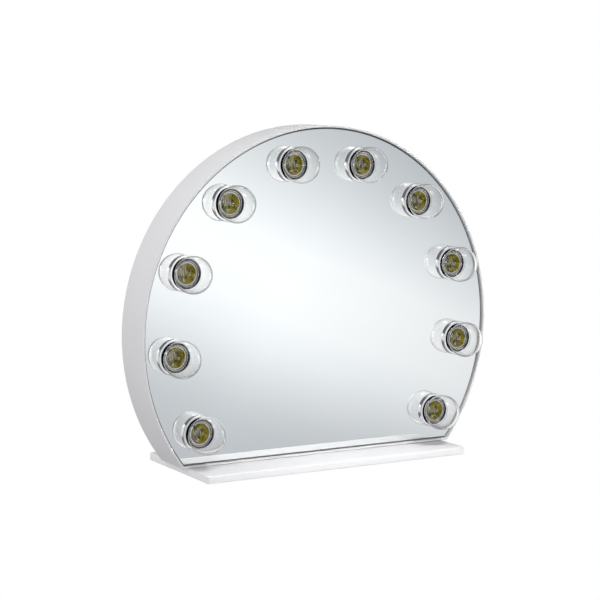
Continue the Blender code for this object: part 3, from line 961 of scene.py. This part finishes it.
# the rocker from its end, as (height, depth) in mm: a dished face between rounded long edges
rockerSide = [(7.3, 1.6), (7.0, 2.15), (6.2, 2.2), (3.4, 1.55), (0.0, 1.2), (-3.4, 1.55), (-6.2, 2.2),
              (-7.0, 2.15), (-7.3, 1.6), (-7.4, -1.2), (-4.4, -5.2), (4.4, -5.2), (7.4, -1.2)]


def makeSwitch():
    s = switchSizes
    at = onCover("switch_body")
    (bw, bh), (ow, oh), (iw, ih) = s["bezel"], s["opening"], s["body"]
    steps = [(-7.5, ow, oh, 0.4), (1.8, ow, oh, 0.4), (2.0, ow + 0.4 * mm, oh + 0.4 * mm, 0.5),
             (2.0, bw - 0.8 * mm, bh - 0.8 * mm, 1.0), (1.7, bw - 0.2 * mm, bh - 0.2 * mm, 1.2),
             (1.3, bw, bh, 1.3), (0.3, bw, bh, 1.3), (0.3, iw, ih, 0.8), (-15.0, iw, ih, 0.8)]
    work = bmesh.new()
    loftInto(work, [[(x, at.y + reach * mm, z) for x, z in boxOutline(at.x, at.z, width, height, corner * mm)]
                    for reach, width, height, corner in steps])
    settle(asPiece("switchBody", work, ["blackPlastic"], 30), "frame", "black_plastic", "switch_body")

    work = bmesh.new()
    half = s["halfWidth"]
    rims = []
    for across, shrink in ((-half, 0.35), (-half + 0.12 * mm, 0.1), (-half + 0.4 * mm, 0.0),
                           (half - 0.4 * mm, 0.0), (half - 0.12 * mm, 0.1), (half, 0.35)):
        rims.append([(across, (depth - (shrink if depth > 0 else 0)) * mm,
                      (height - (shrink if height > 0 else -shrink) * 0.5) * mm)
                     for height, depth in rockerSide])
    loftInto(work, rims)
    pivot = Vector((at.x, at.y + s["pivot"], at.z))
    work.transform(Matrix.Translation(pivot) @ Matrix.Rotation(radians(rockerTilt), 4, "X"))
    settle(asPiece("switchRocker", work, ["blackPlastic"], 35), "rocker", "black_plastic", "switch_rocker")


driverSizes = metres(foot=(124.0, 34.0, 2.0), case=(100.0, 34.0), crown=21.0)


def makeDriver():
    s = driverSizes
    low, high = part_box("driver_box")
    footX, footZ, footY = s["foot"]
    caseX, caseZ = s["case"]
    steps = [(0.0, footX, footZ, 2.0), (footY - 0.3 * mm, footX, footZ, 2.0),
             (footY, footX - 0.6 * mm, footZ, 2.0), (footY, caseX, caseZ, 1.5),
             (s["crown"] - 1.2 * mm, caseX, caseZ, 1.5),
             (s["crown"] + 0.6 * mm, caseX - 1.6 * mm, caseZ - 1.6 * mm, 1.5),
             (high.y - low.y, caseX - 4.0 * mm, caseZ - 4.0 * mm, 1.2)]
    at = nodeMiddle("driver_box")
    work = bmesh.new()
    loftInto(work, [[(x, low.y + reach, z) for x, z in boxOutline(at.x, at.z, width, height, corner * mm)]
                    for reach, width, height, corner in steps])
    settle(asPiece("driverBox", work, ["driverCase"], 30), "frame", "driver_plastic", "driver_box")


print("piece makers ready")
makeFrameBand()
makeMirrorPlate()
print("band and mirror made")
makeRearCover()
makeBasePlate()
makeFootPads()
print("cover, base and pads made")
makeLampHolders()
makeBulbs()
print("lamp holders and bulbs made")
makeScrews()
makeDimmer()
makeInlet()
makeSwitch()
makeDriver()
for node, finishName in (("backing_board", "boardPaint"), ("wire_loom", "wireSleeve")):
    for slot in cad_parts[node].material_slots:
        slot.material = finishes[finishName]
print("rear fittings made")

stageSizes = {"floor": 2.5, "cardAway": 0.9, "cardSoft": 0.09}
cameraSizes = {"target": (-0.0351, mirrorFace, 0.2042), "azimuth": -32.35, "elevation": 6.68, "away": 1.986,
               "lens": 97.6, "roll": 1.23}


def emitter(name, build):
    made = bpy.data.materials.new(name)
    made.use_nodes = True
    made.node_tree.nodes.clear()
    maker = Maker(made.node_tree)
    surface = build(maker)
    sink = made.node_tree.nodes.new("ShaderNodeOutputMaterial")
    made.node_tree.links.new(surface.socket, sink.inputs["Surface"])
    return made


def quad(name, corners, surface):
    mesh = bpy.data.meshes.new(name)
    mesh.from_pydata([tuple(c) for c in corners], [], [(0, 1, 2, 3)])
    piece = linked(name, mesh)
    mesh.materials.append(surface)
    return piece


def glossOnly(card):
    card.visible_camera = card.visible_diffuse = card.visible_shadow = False


def makeFloor():
    # plain white to the eye and a little darker as a light. Gloss looks past it, so the mirror sees the card.
    def build(maker):
        tone = maker.blend(maker.ray("Is Camera Ray"), (0.74, 0.74, 0.75, 1.0), (1.0, 1.0, 1.0, 1.0))
        return maker.mixShader(maker.ray("Is Glossy Ray"), maker.glow(tone), maker.seeThrough())
    reach = stageSizes["floor"]
    quad("floor", [(-reach, -reach, 0), (reach, -reach, 0), (reach, reach, 0), (-reach, reach, 0)],
         emitter("floorPaper", build))


# tones across the card's band, from its lower edge to its upper one
cardTones = [(0.0, (0.47, 0.49, 0.515)), (0.16, (0.56, 0.585, 0.61)), (0.21, (0.62, 0.645, 0.67)),
             (0.27, (0.72, 0.745, 0.77)), (0.36, (0.87, 0.90, 0.92)), (0.44, (0.96, 0.985, 1.0)),
             (0.52, (0.99, 1.0, 1.0)), (0.60, (0.96, 0.985, 1.0)), (0.71, (0.80, 0.83, 0.85)),
             (0.78, (0.70, 0.73, 0.755)), (0.86, (0.595, 0.62, 0.645)), (0.94, (0.525, 0.55, 0.575)),
             (1.0, (0.49, 0.515, 0.54))]


def makeGradientCard():
    # stands in front of the mirror, parallel to it, where the camera's line bounces to, and gives the glass
    # a bright slanting band that fades to grey above and below
    c = cameraSizes
    az, el = radians(c["azimuth"]), radians(c["elevation"])
    eye = Vector((c["target"][0] + c["away"] * sin(az) * cos(el), 0, c["target"][2] + c["away"] * sin(el)))
    behind = c["away"] * cos(az) * cos(el)
    share = behind / (behind + stageSizes["cardAway"])
    depth = mirrorFace - stageSizes["cardAway"]
    soft = stageSizes["cardSoft"]

    def onCard(x, z):
        return Vector((eye.x + (x - eye.x) / share, depth, eye.z + (z - eye.z) / share))
    middle = onCard(-0.07, 0.22)
    along = Vector((0.894, 0, -0.447)) * share
    across = Vector((0.447, 0, 0.894)) * share
    low = onCard(-0.262, -0.002) - Vector((soft, 0, soft))
    top = onCard(0.262, 0.428) + Vector((soft, 0, soft))

    def build(maker):
        where = maker.node("ShaderNodeTexCoord", out=3)
        local = maker.offset(where, middle)
        side = maker.dot(local, along)
        ripple = (maker.noise(where, 2.2, 2.0) - 0.5) * 0.03
        level = maker.dot(local, across) + ripple - maker.remap(side, 0.0, 0.4, 0.0, 0.045)
        band = maker.ramp(maker.remap(level, -0.25, 0.25, 0.0, 1.0), cardTones)
        fade = maker.remap(side, 0.02, 0.40, 1.055, 0.80)
        x = maker.node("ShaderNodeSeparateXYZ", None, {0: where}, out="X")
        z = maker.node("ShaderNodeSeparateXYZ", None, {0: where}, out="Z")
        edge = (maker.remap(x, low.x, low.x + soft, 0, 1) * maker.remap(x, top.x - soft, top.x, 1, 0)
                * maker.remap(z, low.z, low.z + soft, 0, 1) * maker.remap(z, top.z - soft, top.z, 1, 0))
        faded = maker.node("ShaderNodeVectorMath", {"operation": "SCALE"}, {0: band, "Scale": fade})
        return maker.mixShader(edge, maker.seeThrough(), maker.glow(faded))
    corners = [(low.x, depth, low.z), (top.x, depth, low.z), (top.x, depth, top.z), (low.x, depth, top.z)]
    glossOnly(quad("gradientCard", corners, emitter("cardGlow", build)))


def makeRoom():
    # white behind the object, a dome brighter at the left for the paint, and a darker room for the gloss
    world = bpy.data.worlds.new("studio")
    world.use_nodes = True
    bpy.context.scene.world = world
    world.node_tree.nodes.clear()
    maker = Maker(world.node_tree)
    where = maker.node("ShaderNodeTexCoord", out="Generated")
    dome = maker.ramp(maker.dot(where, (-0.38, -0.08, 0.06)) + 0.54,
                      [(0.0, (0.275, 0.275, 0.275)), (1.0, (1.65, 1.65, 1.65))])
    room = maker.ramp(maker.remap(maker.dot(where, (-0.62, 0.10, 0.60)), -0.8, 0.8, 0.0, 1.0),
                      [(0.0, (0.30, 0.30, 0.305)), (0.35, (0.36, 0.36, 0.365)), (0.52, (0.52, 0.52, 0.53)),
                       (0.68, (0.90, 0.90, 0.92)), (1.0, (1.2, 1.2, 1.21))])
    # A dark screen at the front left keeps the glass clear. Light that has already bounced off a matt surface
    # goes through the glass without it, so the screen doesn't shade what is inside a globe.
    screen = maker.remap(maker.dot(where, (-0.61, -0.74, 0.28)), 0.45, 0.78, 0.0, 1.0)
    first = maker.remap(maker.ray("Diffuse Depth"), 0.0, 1.0, 1.0, 0.0)
    white = (1.0, 1.0, 1.0, 1.0)
    room = maker.blend(screen, room, (0.17, 0.17, 0.175, 1.0))
    clear = maker.blend(screen * first, white, (0.10, 0.10, 0.105, 1.0))
    matt = maker.blend(maker.ray("Is Diffuse Ray"), white, dome)
    colour = maker.blend(maker.ray("Is Transmission Ray"),
                         maker.blend(maker.ray("Is Glossy Ray"), matt, room), clear)
    glow = maker.node("ShaderNodeBackground", None, {"Color": colour, "Strength": 1.0})
    sink = world.node_tree.nodes.new("ShaderNodeOutputWorld")
    world.node_tree.links.new(glow.socket, sink.inputs["Surface"])


def glossCard(name, towards, away, width, height, strength):
    # a soft-edged oval that only gloss and glass see, facing the object
    back = Vector(towards).normalized()
    side = Vector((0, 0, 1)).cross(back).normalized()
    rise = back.cross(side)
    middle = Vector((0, mirrorFace, 0.2)) + back * away
    half, tall = side * (width / 2), rise * (height / 2)

    def build(maker):
        local = maker.offset(maker.node("ShaderNodeTexCoord", out=3), middle)
        u = maker.dot(local, side / (width / 2))
        v = maker.dot(local, rise / (height / 2))
        inside = maker.remap(u * u + v * v, 0.25, 1.0, 1.0, 0.0)
        return maker.mixShader(inside, maker.seeThrough(), maker.glow((1.0, 0.995, 0.985, 1.0), strength))
    corners = [middle - half - tall, middle + half - tall, middle + half + tall, middle - half + tall]
    glossOnly(quad(name, corners, emitter(name + "Glow", build)))


def softbox(name, at, target, width, height, watts, spread=180.0):
    light = bpy.data.lights.new(name, "AREA")
    light.shape = "RECTANGLE"
    light.size, light.size_y, light.energy, light.spread = width, height, watts, radians(spread)
    lamp = linked(name, light)
    lamp.location = at
    lamp.rotation_euler = (Vector(target) - Vector(at)).to_track_quat("-Z", "Y").to_euler()
    lamp.visible_camera = lamp.visible_glossy = lamp.visible_transmission = False


def makeCamera():
    s = cameraSizes
    data = bpy.data.cameras.new("camera")
    data.lens, data.sensor_width, data.clip_start = s["lens"], 36.0, 0.05
    camera = linked("camera", data)
    az, el, roll = radians(s["azimuth"]), radians(s["elevation"]), radians(s["roll"])
    away = Vector((sin(az) * cos(el), -cos(az) * cos(el), sin(el)))
    right = Vector((cos(az), sin(az), 0.0))
    up = away.cross(right)
    tiltedRight = right * cos(roll) + up * sin(roll)
    tiltedUp = up * cos(roll) - right * sin(roll)
    turn = Matrix((tiltedRight, tiltedUp, away)).transposed()
    camera.matrix_world = Matrix.Translation(Vector(s["target"]) + away * s["away"]) @ turn.to_4x4()
    bpy.context.scene.camera = camera


makeFloor()
makeGradientCard()
makeRoom()
softbox("edgeLight", (0.8, -2.6, 0.25), (0, 0, 0.2), 1.5, 0.8, 22.0)
softbox("baseLight", (0.7, -1.0, 2.2), (0, -0.06, -0.04), 0.3, 0.3, 0.55, 16.0)
glossCard("overheadBox", (0.30, -0.43, 0.85), 1.2, 0.45, 0.6, 3.5)
glossCard("sideStrip", (0.99, -0.05, -0.05), 1.2, 0.18, 0.8, 4.0)
glossCard("cameraStrip", (-0.53, -0.84, -0.07), 1.6, 0.6, 1.3, 1.0)
glossCard("frontStripLeft", (-0.46, -0.88, 0.12), 1.4, 0.09, 0.26, 5.0)
glossCard("frontStripRight", (-0.34, -0.92, 0.12), 1.4, 0.09, 0.26, 5.0)
makeCamera()
bpy.context.scene.view_settings.view_transform = "Standard"
print("stage and camera ready")
